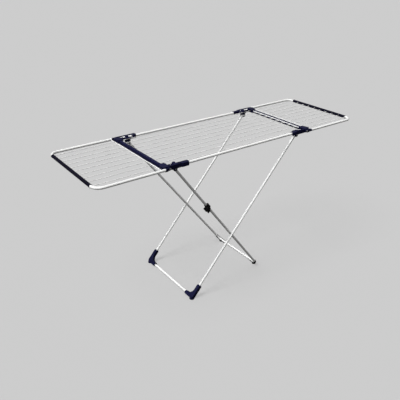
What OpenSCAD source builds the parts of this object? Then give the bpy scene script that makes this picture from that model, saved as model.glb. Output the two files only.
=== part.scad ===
// Winged clothes drying rack with a crossed pair of folding leg frames.
// Millimetres, +Z up, origin on the floor under the middle of the rack.
// +X runs along the rack to the right wing, +Y to the back rail.

/* [Top frame] */
// Height of the top tubes' centre lines above the floor
top_z = 891; // [860:1:920]
// Distance from the middle to each cross tube
cross_x = 498.5; // [490:0.5:510]
// Distance from the middle to each rail
rail_y = 257; // [256:0.5:258]
// Diameter of the rails and wing tubes
rail_d = 15; // [14:0.5:15]
// Diameter of the cross tubes
cross_d = 13; // [12:0.5:13]
// Wall of every tube
wall = 1; // [0.8:0.1:1.2]

/* [Drying wires] */
// Number of wires in each field
wire_count = 10; // [8:2:10]
// Distance between neighbouring wires
wire_pitch = 51; // [50:0.5:51]
// Wire diameter
wire_d = 3; // [2.5:0.25:3.5]

/* [Wings] */
// Distance from the middle to each wing's end bar
wing_x = 891; // [860:1:920]
// Distance from the middle to the wing side tubes
wing_y = 275; // [275:0.5:278]
// Radius of the wing's corner bends
wing_bend = 45; // [40:1:50]
// Distance from the middle to the wing hinge pins
hinge_x = 486; // [485:0.5:487]
// Distance from the middle to the rod near the wing hinge
wing_rod_x = 530; // [529:0.5:534]

/* [Leg frames] */
// Diameter of the leg tubes
leg_d = 14; // [13:0.5:14]
// Height of the foot bars' centre lines
foot_z = 12; // [11.5:0.5:12.5]
// Hinge of the outer leg frame, at the right brackets
outer_pivot_x = 427; // [424:1:430]
// Foot bar of the outer leg frame, at the left
outer_foot_x = -331; // [-345:1:-315]
// Half width of the outer leg frame
outer_half = 240; // [239:0.5:240]
// Hinge of the inner leg frame, at the left brackets
inner_pivot_x = 440; // [436:1:442]
// Foot bar of the inner leg frame, at the right
inner_foot_x = 215; // [200:1:230]
// Half width of the inner leg frame at its hinge
inner_top_half = 243; // [242:0.5:244]
// Half width of the inner leg frame where it bends into its foot bar
inner_foot_half = 198; // [195:1:200]
// Inside bend radius line of both frames
leg_bend = 38; // [34:1:42]

/* [Hidden] */
$fn = 48;

rail_r = rail_d / 2;
cross_r = cross_d / 2;
wire_r = wire_d / 2;
leg_r = leg_d / 2;
fit = 0.05;              // radial play round pins and in sleeves
gap = 0.5;               // play between parts that swing past each other
pin_r = 3;
pin_head_r = 6;
pin_tail = 8.8;          // the wing pins reach this far inside the rails' centre lines
washer = 0.2;

bracket_half = 11.5;     // half height of a bracket
bracket_in = 11.5;       // bracket wall's reach inward of the rail's centre line
left_front_arm_x = 364;  // tips of the brackets' arms along the rails
left_back_arm_x = 380;
right_front_arm_x = 376;
right_back_arm_x = 356;
arm_tip_r = 5;
rib_h = 1;               // rib along the top of the bracket's outer wall
channel_z = 5;           // the arm is open above this height, so that the rail shows
bracket_out_x = 521;     // outboard face of the bracket's corner block
corner_r = 14;
sleeve_half = 12.5;      // half width of the bracket's sleeve on the cross tube
web_r = 40;              // inside curve between the sleeve and the arm
web_gap = 4;
web_hole_r = 6.5;
knob_r = 9;
knob_rise = 1.5;
bridge_half = 9.5;       // the arm stays closed over the leg hinge
strap_x = 394;           // inner strap between the collar and the leg hinge
strap_y = 232;
strap_w = 7;
rail_end_x = 505;
cross_end_y = 246;
comb_end_y = 212;
flush_y = wing_y - rail_r - gap;   // bracket face that the wing tube swings past
collar_y = 270;          // thick end collar of the bracket's arm
collar_x = 408;

knuckle_r = rail_r;
knuckle_in = flush_y + 0.4;
knuckle_out = 277.5;
short_end_x = 514;       // where a short and a long knuckle meet the wing side tube
long_end_x = 525;
shelf_end_x = 512;       // shelf under the knuckle

pivot_drop = 19.5;       // leg hinges below the rails' centre lines
pivot_z = top_z - pivot_drop;
lug_r = 12;
housing_half = 15;
housing_in_y = 228;      // inner face of the leg hinge housing
leg_tail = 9;            // tube beyond the leg hinge pin
slot_half = leg_r + 0.5;
slot_top = pivot_z + 13.7;
ear = 5;                 // outer ear of the leg hinge

outer_run = outer_pivot_x - outer_foot_x;
inner_run = inner_pivot_x + inner_foot_x;
leg_rise = pivot_z - foot_z;
outer_len = sqrt(outer_run * outer_run + leg_rise * leg_rise);
inner_len = sqrt(inner_run * inner_run + leg_rise * leg_rise);
outer_tilt = atan2(leg_rise, outer_run);
inner_tilt = atan2(leg_rise, inner_run);
inner_taper = atan2(inner_top_half - inner_foot_half, inner_len - leg_bend);

foot_half = 11;          // half thickness of a corner foot
foot_leg_arm = 72;
foot_bar_arm = 56;
foot_web = 46;
heel_r = 15;
heel_h = 7;
collar_len = 6;
collar_rise = 0.5;
cap_r = 10;
cap_rim = 0.6;           // the cap's sleeve stands proud of its bend
cap_play = 0.3;
cap_turn = 84;           // how far the cap follows the bend
cap_open = 2;            // the cap reaches past the tube's middle by this much
cap_sleeve = 22;
pad_r = 12;
pad_h = 9;

clip_u = 371;            // clip's place along the inner leg, from the hinge
clip_len = 44;
clip_drop = 21.2;        // folded outer tube below the inner tube
clip_wall = 3.4;
clip_deep = 26;
clip_jaw = 32;           // length of the jaw and of the rib above the tube
clip_rib_r = 4.5;

comb_out = 10;           // strip on a cross tube: depth outward, reach up and reach down
comb_top = 7.5;
comb_low = 14;
comb_round = 4.5;
lip_r = 8.2;             // lip of the strip over the top of the tube
lip_low = 5.8;
hook_r = 12;             // hooks round the underside of the tube, between the wires
hook_len = 32;
end_hook_len = 25;
groove = 0.8;
groove_w = 2.4;
screw_x = 392;
screw_r = 2;
cover_wall = 1.7;
cover_rim = 0.6;
cover_rim_len = 3;
rod_r = 2;

wire_rows = [for (i = [0 : wire_count - 1]) (i - (wire_count - 1) / 2) * wire_pitch];
comb_pitch = wire_pitch / 2;
comb_count = floor(comb_end_y / comb_pitch);
hook_count = floor(comb_end_y / wire_pitch) - 1;

white = [0.93, 0.93, 0.92];
navy = [0.08, 0.08, 0.2];
black = [0.04, 0.04, 0.04];
steel = [0.7, 0.71, 0.73];

// ---- shared shapes ----

// Hollow tube along +X
module pipe_x(len, r) {
  rotate([0, 90, 0]) difference() {
    cylinder(r = r, h = len);
    translate([0, 0, -1]) cylinder(r = r - wall, h = len + 2);
  }
}

// Solid rod along +X or +Y
module rod_x(len, r) {
  rotate([0, 90, 0]) cylinder(r = r, h = len);
}

module rod_y(len, r) {
  rotate([-90, 0, 0]) cylinder(r = r, h = len);
}

// A child for both the front and the back side
module both_sides() {
  children();
  mirror([0, 1, 0]) children();
}

// U-shaped tube in the XY plane, with its bar on the Y axis. Each side leaves its
// bend at Y = half, reaches back to X = -reach and spreads outward by the taper.
// A slanted side is joined to its bend by a short solid collar.
module u_tube(reach, half, bend, r, taper) {
  run = (reach - bend) / cos(taper);
  both_sides() {
    translate([-bend, half, 0]) rotate([0, 0, -taper]) translate([-run, 0, 0]) pipe_x(run, r);
    translate([-bend, half - bend, 0]) rotate_extrude(angle = 90) translate([bend, 0])
      difference() {
        circle(r = r);
        circle(r = r - wall);
      }
    rotate([0, 0, 90]) pipe_x(half - bend, r);
    if (taper > 0)
      translate([-bend - collar_len / 2, half, 0]) rod_x(collar_len, r + collar_rise);
  }
}

// Solid form of one side of a straight-sided U, to cut its seat in another part
module u_seat(reach, half, bend, r) {
  translate([-reach, half, 0]) rod_x(reach - bend, r);
  translate([-bend, half - bend, 0]) rotate_extrude(angle = 90) translate([bend, 0]) circle(r = r);
  rod_y(half - bend, r);
}

// The frames that the two leg frames are drawn in: the foot bar lies on Y, and
// X runs down the leg
module outer_leg_place() {
  translate([outer_foot_x, 0, foot_z]) rotate([0, 180 - outer_tilt, 0]) children();
}

module inner_leg_place() {
  translate([inner_foot_x, 0, foot_z]) rotate([0, inner_tilt, 0]) children();
}

// Everything above the floor
module on_floor() {
  difference() {
    children();
    translate([-600, -400, -60]) cube([1200, 800, 60]);
  }
}

// ---- top frame ----

module rail() {
  difference() {
    translate([-rail_end_x, rail_y, top_z]) pipe_x(2 * rail_end_x, rail_r);
    for (side = [-1, 1]) {
      translate([side * hinge_x, rail_y - 10, top_z]) rod_y(20, pin_r + fit);
      translate([side * screw_x, rail_y, top_z - 12]) cylinder(r = screw_r + fit, h = 8);
    }
  }
}

module front_rail() {
  color(white) mirror([0, 1, 0]) rail();
}

module back_rail() {
  color(white) rail();
}

module cross_tube() {
  translate([cross_x, -cross_end_y, top_z]) rotate([0, 0, 90]) pipe_x(2 * cross_end_y, cross_r);
}

module left_cross_tube() {
  color(white) mirror([1, 0, 0]) cross_tube();
}

module right_cross_tube() {
  color(white) cross_tube();
}

// Section of the comb's hook, a quarter round below the tube's inner side
module hook(len) {
  rotate([-90, 0, 0]) linear_extrude(len) intersection() {
    circle(r = hook_r);
    translate([-hook_r - 1, 0]) square(hook_r + 2);
  }
}

// Strip that clips on a cross tube: solid outside, with a lip over the tube and hooks
// under it. The wires pass between the hooks.
module comb() {
  len = 2 * comb_end_y;
  translate([cross_x, -comb_end_y, top_z]) difference() {
    union() {
      rotate([-90, 0, 0]) linear_extrude(len) {
        translate([0, -comb_top + comb_round])
          square([comb_out, comb_top + comb_low - comb_round]);
        translate([0, -comb_top]) square([comb_out - comb_round, comb_top + comb_low]);
        translate([comb_out - comb_round, -comb_top + comb_round]) circle(r = comb_round);
      }
      rotate([-90, 0, 0]) linear_extrude(len) difference() {
        circle(r = lip_r);
        translate([-lip_r - 1, -lip_low]) square(2 * lip_r + 2);
      }
      for (i = [-hook_count : hook_count])
        translate([0, comb_end_y + i * wire_pitch - hook_len / 2, 0]) hook(hook_len);
      for (y = [0, len - end_hook_len])
        translate([0, y, 0]) hook(end_hook_len);
    }
    translate([0, -1, 0]) rod_y(len + 2, cross_r + fit);
    for (i = [-comb_count : comb_count])
      translate([comb_out - groove, comb_end_y + i * comb_pitch - groove_w / 2, -comb_low - 1])
        cube([groove + 1, groove_w, comb_low + 1 + comb_top - comb_round]);
  }
}

module left_comb() {
  color(navy) mirror([1, 0, 0]) comb();
}

module right_comb() {
  color(navy) comb();
}

module centre_wires() {
  end_x = cross_x - cross_r;
  color(white) for (y = wire_rows)
    translate([-end_x, y, top_z]) rod_x(2 * end_x, wire_r);
}

// ---- corner brackets ----

// Block from [x0, y0, z0] to [x1, y1, z1]
module slab(x0, x1, y0, y1, z0, z1) {
  translate([x0, y0, z0]) cube([x1 - x0, y1 - y0, z1 - z0]);
}

// Bracket of the right back corner; its arm ends at end_x, the leg hinge sits at
// pivot_x, leg_y, and a bracket with a knob has it over the leg hinge
module bracket(end_x, pivot_x, leg_y, knob) {
  in_y = rail_y - bracket_in;
  bottom = -bracket_half;
  top = bracket_half;
  hinge_drop = pivot_z - top_z;
  sleeve_in = cross_x - sleeve_half;
  sleeve_out = cross_x + sleeve_half;
  web_x = sleeve_in - web_r - web_gap;
  ear_out = leg_y + slot_half + ear;
  housing_x = pivot_x - housing_half;
  knob_y = housing_in_y + knob_r;
  last_wire_y = wire_rows[wire_count - 1];
  translate([0, 0, top_z]) difference() {
    union() {
      // arm along the rail, with its rounded end collar
      slab(end_x + arm_tip_r, collar_x, in_y, collar_y, bottom, top);
      slab(end_x, end_x + arm_tip_r + 1, in_y + arm_tip_r, collar_y - arm_tip_r, bottom, top);
      for (y = [in_y + arm_tip_r, collar_y - arm_tip_r])
        translate([end_x + arm_tip_r, y, bottom]) cylinder(r = arm_tip_r, h = 2 * top);
      // inner strap from the collar to the leg hinge housing
      translate([0, 0, -6]) linear_extrude(6 + channel_z)
        polygon([[strap_x, in_y + 1], [strap_x + 2, strap_y + 5], [strap_x + 7, strap_y],
                 [housing_x + 1, strap_y], [housing_x + 1, strap_y + strap_w],
                 [strap_x + 10, strap_y + strap_w], [strap_x + strap_w + 1, in_y + 1]]);
      // arm between the collar and the corner block, with a rib on its outer wall
      slab(collar_x - 1, bracket_out_x - corner_r, in_y, flush_y, bottom, top);
      slab(collar_x, bracket_out_x - corner_r, rail_y + channel_z, flush_y, top - 1, top + rib_h);
      // corner block
      translate([bracket_out_x - corner_r, flush_y - corner_r, bottom])
        cylinder(r = corner_r, h = 2 * top);
      slab(sleeve_out - 6, bracket_out_x, in_y - 4, flush_y - corner_r, bottom, top);
      // sleeve of the cross tube, flared toward the corner block
      slab(sleeve_in, sleeve_out, comb_end_y, in_y + 1, bottom, top);
      translate([0, 0, bottom]) linear_extrude(2 * top)
        polygon([[sleeve_out - 1, comb_end_y], [sleeve_out, comb_end_y],
                 [bracket_out_x, in_y - 2], [bracket_out_x, in_y], [sleeve_out - 1, in_y]]);
      // curved web between the sleeve and the arm, with a round hole
      difference() {
        slab(web_x, sleeve_in + 1, comb_end_y, in_y + 1, web_gap, top);
        translate([web_x, comb_end_y, 0]) cylinder(r = web_r, h = top + 1);
        translate([sleeve_in - 10, in_y - 9, 0]) cylinder(r = web_hole_r, h = top + 1);
      }
      // housing and ears of the leg hinge
      slab(housing_x, pivot_x + housing_half, housing_in_y, in_y + 1, -8, channel_z);
      slab(pivot_x - lug_r, pivot_x + lug_r, housing_in_y, ear_out, hinge_drop, bottom + 1);
      translate([pivot_x, housing_in_y, hinge_drop]) rod_y(ear_out - housing_in_y, lug_r);
      if (knob)
        translate([pivot_x, knob_y, 0]) cylinder(r = knob_r, h = top + knob_rise);
      // shelf that the wing's knuckle rests on
      slab(hinge_x + 8, shelf_end_x, flush_y - 6, flush_y + 6, bottom - 1.5, -knuckle_r - 0.3);
    }
    // rail, cross tube and the outermost wire
    translate([300, rail_y, 0]) rod_x(rail_end_x - 300 + fit, rail_r + fit);
    translate([cross_x, 150, 0]) rod_y(cross_end_y - 150 + fit, cross_r + fit);
    translate([300, last_wire_y, 0]) rod_x(cross_x - 300, wire_r + 0.7);
    slab(300, cross_x, housing_in_y - 1, last_wire_y, -wire_r - 0.7, wire_r + 0.7);
    // channel that shows the rail on both sides of the leg hinge
    for (x = [[collar_x - 2, pivot_x - bridge_half], [pivot_x + bridge_half, sleeve_in - 3]])
      slab(x[0], x[1], in_y - 1, rail_y + channel_z, channel_z, top + 2);
    // window in the inner wall between the collar and the leg hinge
    slab(collar_x - 6, housing_x, in_y - 1, rail_y, bottom - 1, channel_z + 1);
    // slot for the leg tube
    slab(pivot_x - 40, pivot_x + 20, leg_y - slot_half - 0.7, leg_y + slot_half,
         -60, slot_top - top_z);
    // pins and screw
    translate([pivot_x, housing_in_y - 1, hinge_drop]) rod_y(60, pin_r + fit);
    translate([hinge_x, rail_y - 9, 0]) rod_y(40, pin_r + fit);
    translate([screw_x, rail_y, bottom - 1]) cylinder(r = screw_r + fit, h = 8);
    // recess that the knuckle swings in
    translate([hinge_x, flush_y, 0]) rod_y(20, knuckle_r + 0.3);
  }
}

// Brackets at opposite corners of the frame are of one kind
module left_front_bracket() {
  color(navy) mirror([0, 1, 0]) mirror([1, 0, 0])
    bracket(left_front_arm_x, inner_pivot_x, inner_top_half, true);
}

module left_back_bracket() {
  color(navy) mirror([1, 0, 0]) bracket(left_back_arm_x, inner_pivot_x, inner_top_half, false);
}

module right_front_bracket() {
  color(navy) mirror([0, 1, 0]) bracket(right_front_arm_x, outer_pivot_x, outer_half, false);
}

module right_back_bracket() {
  color(navy) bracket(right_back_arm_x, outer_pivot_x, outer_half, true);
}

// Pan-head screws up through the brackets' collars into the rails
module bracket_screws() {
  head_z = top_z - bracket_half;
  color(steel) for (x = [-screw_x, screw_x])
    both_sides() translate([x, rail_y, 0]) {
      translate([0, 0, head_z - 2.2]) difference() {
        cylinder(r = 4, h = 2.2);
        for (turn = [0, 90])
          rotate([0, 0, turn]) translate([-2.5, -0.5, -1]) cube([5, 1, 2.2]);
      }
      translate([0, 0, head_z]) cylinder(r = screw_r, h = bracket_half - 5);
    }
}

// ---- hinge pins ----

module wing_pins(x) {
  color(steel) both_sides() translate([x, 0, top_z]) {
    translate([0, rail_y - pin_tail, 0])
      rod_y(knuckle_out + washer - rail_y + pin_tail, pin_r);
    translate([0, knuckle_out + washer, 0]) rod_y(2, pin_head_r);
  }
}

module left_wing_pins() {
  wing_pins(-hinge_x);
}

module right_wing_pins() {
  wing_pins(hinge_x);
}

module leg_pins(x, leg_y) {
  ear_out = leg_y + slot_half + ear;
  color(steel) both_sides() translate([x, 0, pivot_z]) {
    translate([0, housing_in_y - 2, 0]) rod_y(2, 5);
    translate([0, housing_in_y, 0]) rod_y(ear_out - housing_in_y, pin_r);
    translate([0, ear_out, 0]) rod_y(1.5, 4.5);
  }
}

module outer_leg_pins() {
  leg_pins(outer_pivot_x, outer_half);
}

module inner_leg_pins() {
  leg_pins(-inner_pivot_x, inner_top_half);
}

// ---- wings, drawn for the right side ----

// Its front side tube starts at a long knuckle, its back one at a short knuckle
module wing_tube() {
  difference() {
    translate([wing_x, 0, top_z])
      u_tube(wing_x - short_end_x, wing_y, wing_bend, rail_r, 0);
    translate([short_end_x - 5, -wing_y - 20, top_z - 20])
      cube([long_end_x - short_end_x + 5, 40, 40]);
  }
}

// Moulded sleeve over the end bar, with a hole for each wire
module wing_cover() {
  half = wing_y - wing_bend - 1;
  translate([wing_x, 0, top_z]) difference() {
    union() {
      translate([0, -half, 0]) rod_y(2 * half, rail_r + cover_wall);
      for (end = [-half, half - cover_rim_len])
        translate([0, end, 0]) rod_y(cover_rim_len, rail_r + cover_wall + cover_rim);
    }
    translate([0, -half - 1, 0]) rod_y(2 * half + 2, rail_r + fit);
    for (y = wire_rows)
      if (abs(y) < half - 4)
        translate([-20, y, 0]) rod_x(20, wire_r + 0.4);
    translate([-20, half - 3.3, -3]) cube([20, 4, 6]);
    translate([-20, -half - 0.7, -3]) cube([20, 4, 6]);
  }
}

module wing_rod() {
  end_y = wing_y - rail_r;
  translate([wing_rod_x, -end_y, top_z]) rod_y(2 * end_y, rod_r);
}

module wing_wires() {
  start_x = wing_rod_x + rod_r;
  for (y = wire_rows)
    translate([start_x, y, top_z]) rod_x(wing_x - rail_r - start_x, wire_r);
}

// Plug in the wing tube's end at end_x, with the eye that turns on the hinge pin
module knuckle(end_x) {
  mid = (knuckle_in + knuckle_out) / 2;
  translate([0, 0, top_z]) difference() {
    union() {
      translate([hinge_x, knuckle_in, 0]) rod_y(knuckle_out - knuckle_in, knuckle_r);
      slab(hinge_x, end_x - 4, knuckle_in, knuckle_out, -knuckle_r, knuckle_r);
      translate([end_x - 5, wing_y, 0]) rod_x(5, rail_r);
      translate([end_x - 1, wing_y, 0]) rod_x(22, rail_r - wall - fit);
    }
    translate([hinge_x, mid - 20, 0]) rod_y(40, pin_r + fit);
  }
}

module left_wing_tube() {
  color(white) rotate([0, 0, 180]) wing_tube();
}

module right_wing_tube() {
  color(white) wing_tube();
}

module left_wing_cover() {
  color(navy) mirror([1, 0, 0]) wing_cover();
}

module right_wing_cover() {
  color(navy) wing_cover();
}

module left_wing_rod() {
  color(white) mirror([1, 0, 0]) wing_rod();
}

module right_wing_rod() {
  color(white) wing_rod();
}

module left_wing_wires() {
  color(white) mirror([1, 0, 0]) wing_wires();
}

module right_wing_wires() {
  color(white) wing_wires();
}

module left_front_knuckle() {
  color(navy) mirror([1, 0, 0]) mirror([0, 1, 0]) knuckle(short_end_x);
}

module left_back_knuckle() {
  color(navy) mirror([1, 0, 0]) knuckle(long_end_x);
}

module right_front_knuckle() {
  color(navy) mirror([0, 1, 0]) knuckle(long_end_x);
}

module right_back_knuckle() {
  color(navy) knuckle(short_end_x);
}

// ---- outer leg frame ----

module outer_leg_frame() {
  color(white) difference() {
    outer_leg_place() u_tube(outer_len + leg_tail, outer_half, leg_bend, leg_r, 0);
    translate([outer_pivot_x, -300, pivot_z]) rod_y(600, pin_r + fit);
  }
}

// Plug in the top end of a leg tube; X runs down the leg
module leg_plug() {
  translate([-leg_tail - 2, 0, 0]) rod_x(2, leg_r - 0.3);
  translate([-leg_tail, 0, 0]) rod_x(5, leg_r - wall - fit);
}

module outer_leg_plugs() {
  color(black) outer_leg_place() both_sides()
    translate([-outer_len, outer_half, 0]) leg_plug();
}

// Boomerang-shaped corner foot, open round the tube bend and flat on the floor
module corner_foot() {
  r = foot_half;
  bar_end = outer_half - foot_bar_arm;
  web_y = outer_half - foot_web;
  color(navy) on_floor() difference() {
    union() {
      outer_leg_place() translate([0, 0, -r]) linear_extrude(2 * r) {
        translate([-foot_leg_arm, outer_half - r]) square([foot_leg_arm - 6, 2 * r]);
        translate([-foot_leg_arm, outer_half]) circle(r = r);
        translate([-r, bar_end]) square([2 * r, foot_bar_arm - 6]);
        translate([0, bar_end]) circle(r = r);
        translate([-6, outer_half - 6]) circle(r = r + 6);
        difference() {
          translate([-foot_web, web_y]) square(foot_web - 4);
          translate([-foot_web, web_y]) circle(r = foot_web - r);
        }
      }
      translate([outer_foot_x - 2, outer_half - 2, 0]) cylinder(r = heel_r, h = heel_h);
    }
    outer_leg_place() u_seat(300, outer_half, leg_bend, leg_r + fit);
  }
}

module front_foot() {
  mirror([0, 1, 0]) corner_foot();
}

module back_foot() {
  corner_foot();
}

// ---- inner leg frame ----

module inner_leg_frame() {
  color(white) difference() {
    inner_leg_place()
      u_tube(inner_len + leg_tail, inner_foot_half, leg_bend, leg_r, inner_taper);
    translate([-inner_pivot_x, -300, pivot_z]) rod_y(600, pin_r + fit);
  }
}

module inner_leg_plugs() {
  color(black) inner_leg_place() both_sides()
    translate([-inner_len, inner_top_half, 0]) rotate([0, 0, -inner_taper]) leg_plug();
}

// Section of a sleeve on a leg tube, open toward the inside of the bend
module cap_section(r, bore, open) {
  difference() {
    circle(r = r);
    circle(r = bore);
    translate([-r - 1 - open, -r - 1]) square([r + 1, 2 * r + 2]);
  }
}

// Black half shell round the outside of the bend, with a pad that stands on the floor
module bend_cap() {
  centre_y = inner_foot_half - leg_bend;
  color(black) {
    inner_leg_place() translate([-leg_bend, centre_y, 0]) {
      rotate_extrude(angle = cap_turn) translate([leg_bend, 0])
        cap_section(cap_r, leg_r + fit, cap_open);
      translate([leg_bend, 0.6, 0]) rotate([90, 0, 0])
        linear_extrude(cap_sleeve) cap_section(cap_r + cap_rim, leg_r + cap_play, 0);
    }
    difference() {
      translate([inner_foot_x - 1, centre_y + 14, 0]) cylinder(r = pad_r, h = pad_h);
      inner_leg_place() translate([-leg_bend, centre_y, 0])
        rotate_extrude(angle = 90) translate([leg_bend, 0]) circle(r = leg_r + 1);
    }
  }
}

module front_cap() {
  mirror([0, 1, 0]) bend_cap();
}

module back_cap() {
  bend_cap();
}

// Clip on the front inner leg that holds the folded outer leg
module leg_clip() {
  u = clip_u - inner_len;
  tube_y = inner_top_half - clip_u * tan(inner_taper);
  jaw_low = outer_half - slot_half - 0.9;
  jaw_high = outer_half + slot_half + 0.9;
  throat = -clip_drop + leg_r + 2.1;
  color(black) inner_leg_place() mirror([0, 1, 0]) difference() {
    union() {
      translate([u, tube_y, 0]) rotate([0, 0, -inner_taper])
        translate([-clip_len / 2, 0, 0]) rod_x(clip_len, leg_r + clip_wall);
      translate([u - clip_jaw / 2, jaw_low - clip_wall, -clip_deep])
        cube([clip_jaw, jaw_high - jaw_low + 2 * clip_wall, clip_deep - leg_r + 1]);
      translate([u - clip_jaw / 2, tube_y - clip_rib_r, leg_r])
        cube([clip_jaw - 2, 2 * clip_rib_r, 5]);
      translate([u - clip_jaw / 2, tube_y, leg_r + 5]) rod_x(clip_jaw - 2, clip_rib_r);
    }
    translate([u, tube_y, 0]) rotate([0, 0, -inner_taper])
      translate([-60, 0, 0]) rod_x(120, leg_r + fit);
    translate([u - 40, jaw_low, -60]) cube([80, jaw_high - jaw_low, 60 + throat]);
  }
}

front_rail();
back_rail();
left_cross_tube();
right_cross_tube();
left_comb();
right_comb();
centre_wires();
left_front_bracket();
left_back_bracket();
right_front_bracket();
right_back_bracket();
bracket_screws();
left_wing_pins();
right_wing_pins();
outer_leg_pins();
inner_leg_pins();
left_wing_tube();
left_wing_cover();
left_wing_rod();
left_wing_wires();
left_front_knuckle();
left_back_knuckle();
right_wing_tube();
right_wing_cover();
right_wing_rod();
right_wing_wires();
right_front_knuckle();
right_back_knuckle();
outer_leg_frame();
outer_leg_plugs();
front_foot();
back_foot();
inner_leg_frame();
inner_leg_plugs();
front_cap();
back_cap();
leg_clip();
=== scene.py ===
import math

import bmesh
import bpy
from mathutils import Euler, Matrix, Vector


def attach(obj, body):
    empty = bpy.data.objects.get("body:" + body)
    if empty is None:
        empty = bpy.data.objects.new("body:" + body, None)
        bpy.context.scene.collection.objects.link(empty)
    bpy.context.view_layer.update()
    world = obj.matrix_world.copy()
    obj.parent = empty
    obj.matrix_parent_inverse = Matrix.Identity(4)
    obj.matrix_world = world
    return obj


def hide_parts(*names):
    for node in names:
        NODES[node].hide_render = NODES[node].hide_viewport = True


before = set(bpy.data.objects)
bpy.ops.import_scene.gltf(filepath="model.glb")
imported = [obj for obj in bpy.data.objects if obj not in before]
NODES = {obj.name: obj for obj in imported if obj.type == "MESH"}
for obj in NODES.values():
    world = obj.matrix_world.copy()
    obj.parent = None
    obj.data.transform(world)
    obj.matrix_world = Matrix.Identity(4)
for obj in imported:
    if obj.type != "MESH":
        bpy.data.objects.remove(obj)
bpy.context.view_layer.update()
scene = bpy.context.scene

# ---- camera -------------------------------------------------------------

CAMERA_PLACE = (-1.72467, -2.21715, 1.88725)
CAMERA_PITCH = 26.932       # degrees below the horizon
CAMERA_YAW = -36.2265       # degrees from +Y
CAMERA_ROLL = 0.136

camera_data = bpy.data.cameras.new("camera")
camera_data.sensor_width = 36.0
camera_data.lens = 45.455
camera_data.clip_start = 0.05
camera_data.clip_end = 400.0
camera = bpy.data.objects.new("camera", camera_data)
camera.location = CAMERA_PLACE
turn = Euler((math.radians(90.0 - CAMERA_PITCH), 0.0, math.radians(CAMERA_YAW)), "XYZ").to_matrix()
camera.rotation_euler = (turn @ Matrix.Rotation(math.radians(CAMERA_ROLL), 3, "Z")).to_euler()
scene.collection.objects.link(camera)
scene.camera = camera

scene.view_settings.view_transform = "Standard"

# ---- light and floor ----------------------------------------------------

world = bpy.data.worlds.new("studio")
scene.world = world
world.use_nodes = True
# soft room light: brighter from above, dim from below
sky = world.node_tree.nodes["Background"]
around = world.node_tree.nodes.new("ShaderNodeTexCoord")
split = world.node_tree.nodes.new("ShaderNodeSeparateXYZ")
lift = world.node_tree.nodes.new("ShaderNodeMapRange")
lift.interpolation_type = "SMOOTHSTEP"
world.node_tree.links.new(around.outputs["Generated"], split.inputs[0])
world.node_tree.links.new(split.outputs["Z"], lift.inputs["Value"])
world.node_tree.links.new(lift.outputs[0], sky.inputs["Strength"])
for key, number in (("From Min", -0.3), ("From Max", 0.9), ("To Min", 0.10), ("To Max", 0.42)):
    lift.inputs[key].default_value = number
sky.inputs["Color"].default_value = (1.0, 1.0, 1.0, 1.0)


def sun(name, direction, strength, angle):
    data = bpy.data.lights.new(name, "SUN")
    data.energy = strength
    data.angle = math.radians(angle)
    ob = bpy.data.objects.new(name, data)
    ob.rotation_euler = Vector(direction).to_track_quat("Z", "Y").to_euler()
    scene.collection.objects.link(ob)


sun("key", (-0.50, 0.0, 0.86), 3.4, 25.0)

# ---- materials ----------------------------------------------------------


class Graph:
    """Node tree of one new material."""

    def __init__(self, name):
        self.mat = bpy.data.materials.new(name)
        self.mat.use_nodes = True
        self.tree = self.mat.node_tree
        self.shader = self.tree.nodes["Principled BSDF"]
        self.coord = self.add("ShaderNodeTexCoord").outputs["Object"]

    def add(self, kind, **values):
        node = self.tree.nodes.new(kind)
        for key, value in values.items():
            setattr(node, key, value)
        return node

    def link(self, a, b):
        self.tree.links.new(a, b)

    def noise(self, scale, detail=3.0, rough=0.5, stretch=(1, 1, 1)):
        mapping = self.add("ShaderNodeMapping")
        mapping.inputs["Scale"].default_value = stretch
        self.link(self.coord, mapping.inputs["Vector"])
        node = self.add("ShaderNodeTexNoise")
        node.inputs["Scale"].default_value = scale
        node.inputs["Detail"].default_value = detail
        node.inputs["Roughness"].default_value = rough
        self.link(mapping.outputs[0], node.inputs["Vector"])
        return node.outputs["Fac"]

    def remap(self, value, low, high, to_low, to_high):
        node = self.add("ShaderNodeMapRange")
        self.link(value, node.inputs["Value"])
        numbers = {"From Min": low, "From Max": high, "To Min": to_low, "To Max": to_high}
        for key, number in numbers.items():
            node.inputs[key].default_value = number
        return node.outputs[0]

    def math(self, kind, a, b):
        node = self.add("ShaderNodeMath", operation=kind)
        for i, value in enumerate((a, b)):
            if isinstance(value, (int, float)):
                node.inputs[i].default_value = value
            else:
                self.link(value, node.inputs[i])
        return node.outputs[0]

    def mix(self, factor, a, b):
        node = self.add("ShaderNodeMix", data_type="RGBA")
        self.link(factor, node.inputs[0])
        for socket, value in ((node.inputs[6], a), (node.inputs[7], b)):
            if isinstance(value, tuple):
                socket.default_value = value + (1.0,)
            else:
                self.link(value, socket)
        return node.outputs[2]

    def edges(self, low=0.51, high=0.58):
        """1 along sharp outer edges, 0 elsewhere."""
        point = self.add("ShaderNodeNewGeometry").outputs["Pointiness"]
        return self.remap(point, low, high, 0.0, 1.0)

    def bump(self, height, strength, distance):
        node = self.add("ShaderNodeBump")
        node.inputs["Strength"].default_value = strength
        node.inputs["Distance"].default_value = distance
        self.link(height, node.inputs["Height"])
        self.link(node.outputs[0], self.shader.inputs["Normal"])


def powder_paint(name, colour, dull, fleck, rough, level):
    """Baked-on paint on steel tube: orange peel, faint colour drift, darker specks."""
    g = Graph(name)
    drift = g.noise(9.0, 2.0)
    grime = g.noise(60.0, 5.0, 0.65)
    base = g.mix(g.remap(drift, 0.35, 0.65, 0.0, 1.0), colour, dull)
    base = g.mix(g.remap(grime, 0.60, 0.78, 0.0, 0.5), base, fleck)
    g.link(base, g.shader.inputs["Base Color"])
    g.link(g.remap(grime, 0.3, 0.7, rough - 0.05, rough + 0.08), g.shader.inputs["Roughness"])
    g.shader.inputs["Specular IOR Level"].default_value = level
    peel = g.noise(700.0, 2.0)
    g.bump(peel, 0.12, 0.0004)
    return g.mat


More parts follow.
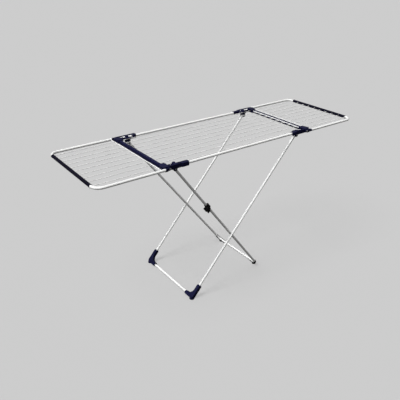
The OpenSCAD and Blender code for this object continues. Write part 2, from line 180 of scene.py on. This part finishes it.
def moulded_plastic(name, colour, light, rough, level):
    """Injection-moulded plastic: fine spark texture, flow drift, paler rubbed edges."""
    g = Graph(name)
    flow = g.noise(28.0, 4.0, 0.6, (1.0, 1.0, 2.2))
    speck = g.noise(900.0, 2.0)
    base = g.mix(g.remap(flow, 0.35, 0.7, 0.0, 0.55), colour, light)
    base = g.mix(g.math("MULTIPLY", g.edges(), g.remap(speck, 0.35, 0.6, 0.2, 0.8)), base, light)
    g.link(base, g.shader.inputs["Base Color"])
    g.link(g.remap(flow, 0.3, 0.7, rough - 0.06, rough + 0.1), g.shader.inputs["Roughness"])
    g.shader.inputs["Specular IOR Level"].default_value = level
    g.bump(speck, 0.2, 0.0003)
    return g.mat


def plated_steel(name, colour, dark, rough):
    """Zinc-plated steel with fine turning marks."""
    g = Graph(name)
    cloud = g.noise(140.0, 4.0, 0.6)
    marks = g.noise(900.0, 2.0, 0.5, (1.0, 6.0, 1.0))
    g.link(g.mix(g.remap(cloud, 0.35, 0.7, 0.0, 1.0), colour, dark), g.shader.inputs["Base Color"])
    g.link(g.remap(marks, 0.3, 0.7, rough - 0.08, rough + 0.1), g.shader.inputs["Roughness"])
    g.shader.inputs["Metallic"].default_value = 1.0
    g.bump(marks, 0.15, 0.0002)
    return g.mat


WHITE = powder_paint("white_paint", (0.90, 0.90, 0.89), (0.86, 0.865, 0.86),
                     (0.74, 0.735, 0.72), 0.32, 0.5)
WIRE = powder_paint("wire_white", (0.88, 0.88, 0.87), (0.84, 0.84, 0.835),
                    (0.72, 0.72, 0.70), 0.36, 0.5)
NAVY = moulded_plastic("navy_plastic", (0.0052, 0.0056, 0.027), (0.011, 0.0115, 0.052),
                       0.42, 0.10)
NAVY_DARK = moulded_plastic("navy_sleeve", (0.0030, 0.0027, 0.0090), (0.0075, 0.007, 0.020),
                            0.45, 0.07)
BLACK = moulded_plastic("black_plastic", (0.0035, 0.0035, 0.004), (0.009, 0.009, 0.010),
                        0.48, 0.16)
STEEL = plated_steel("pin_steel", (0.62, 0.62, 0.64), (0.46, 0.46, 0.48), 0.34)
SLOTS = {"white_paint": WHITE, "wire_white": WIRE, "navy_plastic": NAVY,
         "black_plastic": BLACK, "pin_steel": STEEL}


# ---- mesh tools ---------------------------------------------------------

def mesh_from(bm, name):
    """New mesh from a bmesh, which is freed."""
    mesh = bpy.data.meshes.new(name)
    bm.to_mesh(mesh)
    bm.free()
    return mesh


def make_object(name, mesh, material, body, slot, *stands_for):
    """One visible piece that rides on a body and may stand for CAD nodes."""
    ob = bpy.data.objects.new(name, mesh)
    scene.collection.objects.link(ob)
    mesh.materials.clear()
    mesh.materials.append(material)
    for polygon in mesh.polygons:
        polygon.use_smooth = True
    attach(ob, body)
    if stands_for:
        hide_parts(*stands_for)
    return ob


def evaluated(ob):
    """Mesh of ob with its modifiers applied."""
    graph = bpy.context.evaluated_depsgraph_get()
    return bpy.data.meshes.new_from_object(ob.evaluated_get(graph))


def bead(bm, centre, size, sides=10):
    """Squashed ball, such as a spot of weld."""
    place = Matrix.Translation(Vector(centre)) @ Matrix.Diagonal((*size, 1.0))
    bmesh.ops.create_uvsphere(bm, u_segments=sides, v_segments=sides // 2 + 1,
                              radius=1.0, matrix=place)


def loft(bm, rings):
    """Closed skin through rings of equal point counts."""
    loops = [[bm.verts.new(p) for p in ring] for ring in rings]
    count = len(loops[0])
    for one, two in zip(loops, loops[1:]):
        for i in range(count):
            j = (i + 1) % count
            bm.faces.new((one[i], one[j], two[j], two[i]))
    bm.faces.new(loops[0][::-1])
    bm.faces.new(loops[-1])


def soften(name, node, voxel, rounds, material, body, slot, extra=None, reshape=None):
    """Moulded form of a CAD node: its solid and any extra solids are fused in voxels,
    and every edge is rounded by some rounds of smoothing, as a mould leaves it."""
    mesh = NODES[node].data.copy()
    if extra is not None:
        bm = bmesh.new()
        bm.from_mesh(mesh)
        extra(bm)
        bm.to_mesh(mesh)
        bm.free()
    ob = bpy.data.objects.new(name + "_work", mesh)
    scene.collection.objects.link(ob)
    fuse = ob.modifiers.new("fuse", "REMESH")
    fuse.mode = "VOXEL"
    fuse.voxel_size = voxel
    fuse.adaptivity = 0.0
    smooth = ob.modifiers.new("round", "SMOOTH")
    smooth.factor = 0.5
    smooth.iterations = rounds
    result = evaluated(ob)
    result.name = name
    bpy.data.objects.remove(ob)
    if reshape is not None:
        for vertex in result.vertices:
            reshape(vertex.co)
    return make_object(name, result, material, body, slot, node)


# ---- materials and fine edges on the CAD nodes --------------------------

EDGE_BEVEL = 0.0003

for name, ob in NODES.items():
    for i, material_slot in enumerate(ob.material_slots):
        key = material_slot.material.name.split(".")[0]
        ob.material_slots[i].material = NAVY_DARK if name.endswith("_cover") else SLOTS[key]
    bevel = ob.modifiers.new("edge", "BEVEL")
    bevel.width = EDGE_BEVEL
    bevel.segments = 2
    bevel.limit_method = "ANGLE"
    bevel.angle_limit = math.radians(50)

# ---- corner brackets ----------------------------------------------------

SIDES = {"left": -1, "right": 1}
ENDS = {"front": -1, "back": 1}
COARSE = 0.0008             # voxels of the large mouldings and of the small ones
FINE = 0.0006
TOP_Z = 0.891
BRACKET_TOP = TOP_Z + 0.0115
ARM_Y = 0.2565
RAIL_Y = 0.257
CROWN_START = 0.487
CROWN_END = 0.517
CROWN_HALF = 0.0065
KNOB_Y = 0.237
KNOB_CROWN = (0.0078, 0.0078, 0.0010)
LEG_PIVOT_X = {"left": 0.440, "right": 0.427}
THIN_HEIGHT = 0.74          # share of its height and width left at a thinned arm's tip
THIN_WIDTH = 0.80


def bracket_extra(sx, sy, pivot):
    """Crowns on a bracket's corner block and, where it has one, on its knob."""

    def build(bm):
        rings = []
        for k in range(25):
            t = k / 24
            x = CROWN_START + (CROWN_END - CROWN_START) * t
            swell = math.sin(math.pi * t) ** 0.35 if 0 < t < 1 else 0.02
            ring = []
            for i in range(16):
                a = 2 * math.pi * i / 16
                ring.append((sx * x, sy * (ARM_Y + CROWN_HALF * swell * math.cos(a)),
                             BRACKET_TOP - 0.0006 + 0.0015 * swell * math.sin(a)))
            rings.append(ring)
        loft(bm, rings)
        # only the left front and right back brackets have a knob
        if sx * sy > 0:
            bead(bm, (sx * pivot, sy * KNOB_Y, BRACKET_TOP + 0.0004), KNOB_CROWN, 24)

    return build


def smooth_step(value, low, high):
    """0 below low, 1 above high and an even S between them."""
    t = min(1.0, max(0.0, (value - low) / (high - low)))
    return t * t * (3 - 2 * t)


def slimmer_arm(sy):
    """A right bracket's arm thins out toward its tip."""

    def reshape(co):
        height = THIN_HEIGHT + (1 - THIN_HEIGHT) * smooth_step(co.x, 0.378, 0.416)
        width = THIN_WIDTH + (1 - THIN_WIDTH) * smooth_step(co.x, 0.378, 0.412)
        co.z = TOP_Z + (co.z - TOP_Z) * height
        co.y = sy * (RAIL_Y + (abs(co.y) - RAIL_Y) * width)

    return reshape


for side, sx in SIDES.items():
    for end, sy in ENDS.items():
        node = f"{side}_{end}_bracket"
        soften(f"{node}_moulding", node, COARSE, 3, NAVY, "top_frame", "navy_plastic",
               bracket_extra(sx, sy, LEG_PIVOT_X[side]), slimmer_arm(sy) if sx > 0 else None)

# hinge eyes of the wings
for side in SIDES:
    for end in ENDS:
        soften(f"{side}_{end}_hinge_eye", f"{side}_{end}_knuckle", FINE, 3, NAVY,
               f"{side}_wing", "navy_plastic")

# ---- combs --------------------------------------------------------------

CROSS_X = 0.4985
COMB_END = 0.212
GROOVE_PITCH = 0.0255
COMB_OUT = 0.010
COMB_TOP = 0.0075
COMB_LOW = 0.014
COMB_ROUND = 0.0045
LIP_R = 0.0082
SEAT_R = 0.0066
HOOK_R = 0.012
HOOK_PITCH = 0.051
HOOK_HALF = 0.016
END_HOOK = 0.025
GROOVES_A_SIDE = 8          # of the middle one
HOOKS_A_SIDE = 3


def arc(cx, cz, r, start, end, steps):
    """Points of an arc in the XZ plane, angles in degrees."""
    points = []
    for k in range(steps + 1):
        a = math.radians(start + (end - start) * k / steps)
        points.append((cx + r * math.cos(a), cz + r * math.sin(a)))
    return points


def comb_profile(inset):
    """Section of the strip: rounded outside, with a lip over the tube and a seat round
    the tube's outer half."""
    x_out = COMB_OUT - inset
    z_top, z_low = COMB_TOP - inset * 0.5, inset - COMB_LOW
    corner = COMB_ROUND
    points = arc(x_out - corner, z_top - corner, corner, 0, 90, 6)
    points += arc(0.0, 0.0, LIP_R - inset * 0.5, 66, 134, 8)
    points += arc(0.0, 0.0, SEAT_R, 118, -90, 18)
    points += arc(0.0006, z_low + 0.0006, 0.0006, 180, 270, 3)
    points += arc(x_out - 0.002, z_low + 0.002, 0.002, 270, 360, 6)
    return points


def hook_profile(thin):
    """Section of a hook: a quarter ring under the tube's inner side."""
    return arc(0.0, 0.0, HOOK_R - thin, 180, 274, 12) + arc(0.0, 0.0, SEAT_R, 274, 180, 10)


def build_comb(side, sx):
    """Grooved strip with its hooks, in place of a comb."""
    bm = bmesh.new()

    def skin(stations, profile):
        loft(bm, [[(sx * (CROSS_X + x), y, TOP_Z + z) for x, z in profile(inset)]
                  for y, inset in stations])

    stations = [(-COMB_END, 0.0008), (-COMB_END + 0.0008, 0.0)]
    for i in range(-GROOVES_A_SIDE, GROOVES_A_SIDE + 1):
        y = i * GROOVE_PITCH
        stations += [(y - 0.0014, 0.0), (y - 0.0009, 0.0006),
                     (y + 0.0009, 0.0006), (y + 0.0014, 0.0)]
    stations += [(COMB_END - 0.0008, 0.0), (COMB_END, 0.0008)]
    skin(stations, comb_profile)
    spans = [(i * HOOK_PITCH - HOOK_HALF, i * HOOK_PITCH + HOOK_HALF)
             for i in range(-HOOKS_A_SIDE, HOOKS_A_SIDE + 1)]
    spans += [(-COMB_END, END_HOOK - COMB_END), (COMB_END - END_HOOK, COMB_END)]
    for start, stop in spans:
        skin([(start, 0.0009), (start + 0.0008, 0.0), (stop - 0.0008, 0.0), (stop, 0.0009)],
             hook_profile)
    bmesh.ops.recalc_face_normals(bm, faces=bm.faces)
    name = f"{side}_comb_strip"
    ob = make_object(name, mesh_from(bm, name), NAVY, "top_frame", "navy_plastic", f"{side}_comb")
    split = ob.modifiers.new("split", "EDGE_SPLIT")
    split.split_angle = math.radians(50)


for side, sx in SIDES.items():
    build_comb(side, sx)

# ---- feet, caps and clip ------------------------------------------------

for end in ENDS:
    soften(f"{end}_corner_foot", f"{end}_foot", COARSE, 3, NAVY, "outer_legs", "navy_plastic")
    soften(f"{end}_bend_cap", f"{end}_cap", FINE, 2, BLACK, "inner_legs", "black_plastic")
soften("leg_clip_moulding", "leg_clip", FINE, 3, BLACK, "inner_legs", "black_plastic")

# ---- weld spots ---------------------------------------------------------

WIRE_ROWS = [(i - 4.5) * 0.051 for i in range(10)]
ROD_X = 0.530
ROD_END_Y = 0.2663
WIRE_WELD = (0.0026, 0.0024, 0.0021)
ROD_WELD = (0.0032, 0.0024, 0.0032)

for side, sx in SIDES.items():
    bm = bmesh.new()
    for y in WIRE_ROWS:
        bead(bm, (sx * (ROD_X + 0.0022), y, TOP_Z), WIRE_WELD)
    for y in (-ROD_END_Y, ROD_END_Y):
        bead(bm, (sx * ROD_X, y, TOP_Z), ROD_WELD, 14)
    name = f"{side}_wing_welds"
    make_object(name, mesh_from(bm, name), WIRE, f"{side}_wing", "wire_white")

# ---- floor and backdrop -------------------------------------------------

FLOOR_HALF = 60.0
DOME_R = 58.0

floor_mesh = bpy.data.meshes.new("floor")
floor_mesh.from_pydata([(-FLOOR_HALF, -FLOOR_HALF, 0), (FLOOR_HALF, -FLOOR_HALF, 0),
                        (FLOOR_HALF, FLOOR_HALF, 0), (-FLOOR_HALF, FLOOR_HALF, 0)],
                       [], [(0, 1, 2, 3)])
floor = bpy.data.objects.new("floor", floor_mesh)
scene.collection.objects.link(floor)
g = Graph("floor_paper")
paper = g.mix(g.noise(3.0, 2.0), (0.160, 0.160, 0.160), (0.157, 0.157, 0.157))
g.link(paper, g.shader.inputs["Base Color"])
g.shader.inputs["Roughness"].default_value = 1.0
g.shader.inputs["Specular IOR Level"].default_value = 0.0
g.shader.inputs["Emission Color"].default_value = (1.0, 1.0, 1.0, 1.0)
g.shader.inputs["Emission Strength"].default_value = 0.402
# a pale dome far behind the floor, so that low views have no dark horizon
bm = bmesh.new()
bmesh.ops.create_icosphere(bm, subdivisions=5, radius=DOME_R)
dome_mesh = mesh_from(bm, "backdrop")
backdrop = bpy.data.objects.new("backdrop", dome_mesh)
scene.collection.objects.link(backdrop)
dome = Graph("backdrop_paper")
dome.link(dome.mix(dome.noise(0.05, 2.0), (0.590, 0.590, 0.590), (0.600, 0.600, 0.600)),
          dome.shader.inputs["Emission Color"])
dome.shader.inputs["Base Color"].default_value = (0.0, 0.0, 0.0, 1.0)
dome.shader.inputs["Specular IOR Level"].default_value = 0.0
dome.shader.inputs["Emission Strength"].default_value = 1.0
dome_mesh.materials.append(dome.mat)
for ob in (floor, backdrop):
    ob.visible_diffuse = False
    ob.visible_glossy = False
backdrop.visible_shadow = False
floor_mesh.materials.append(g.mat)
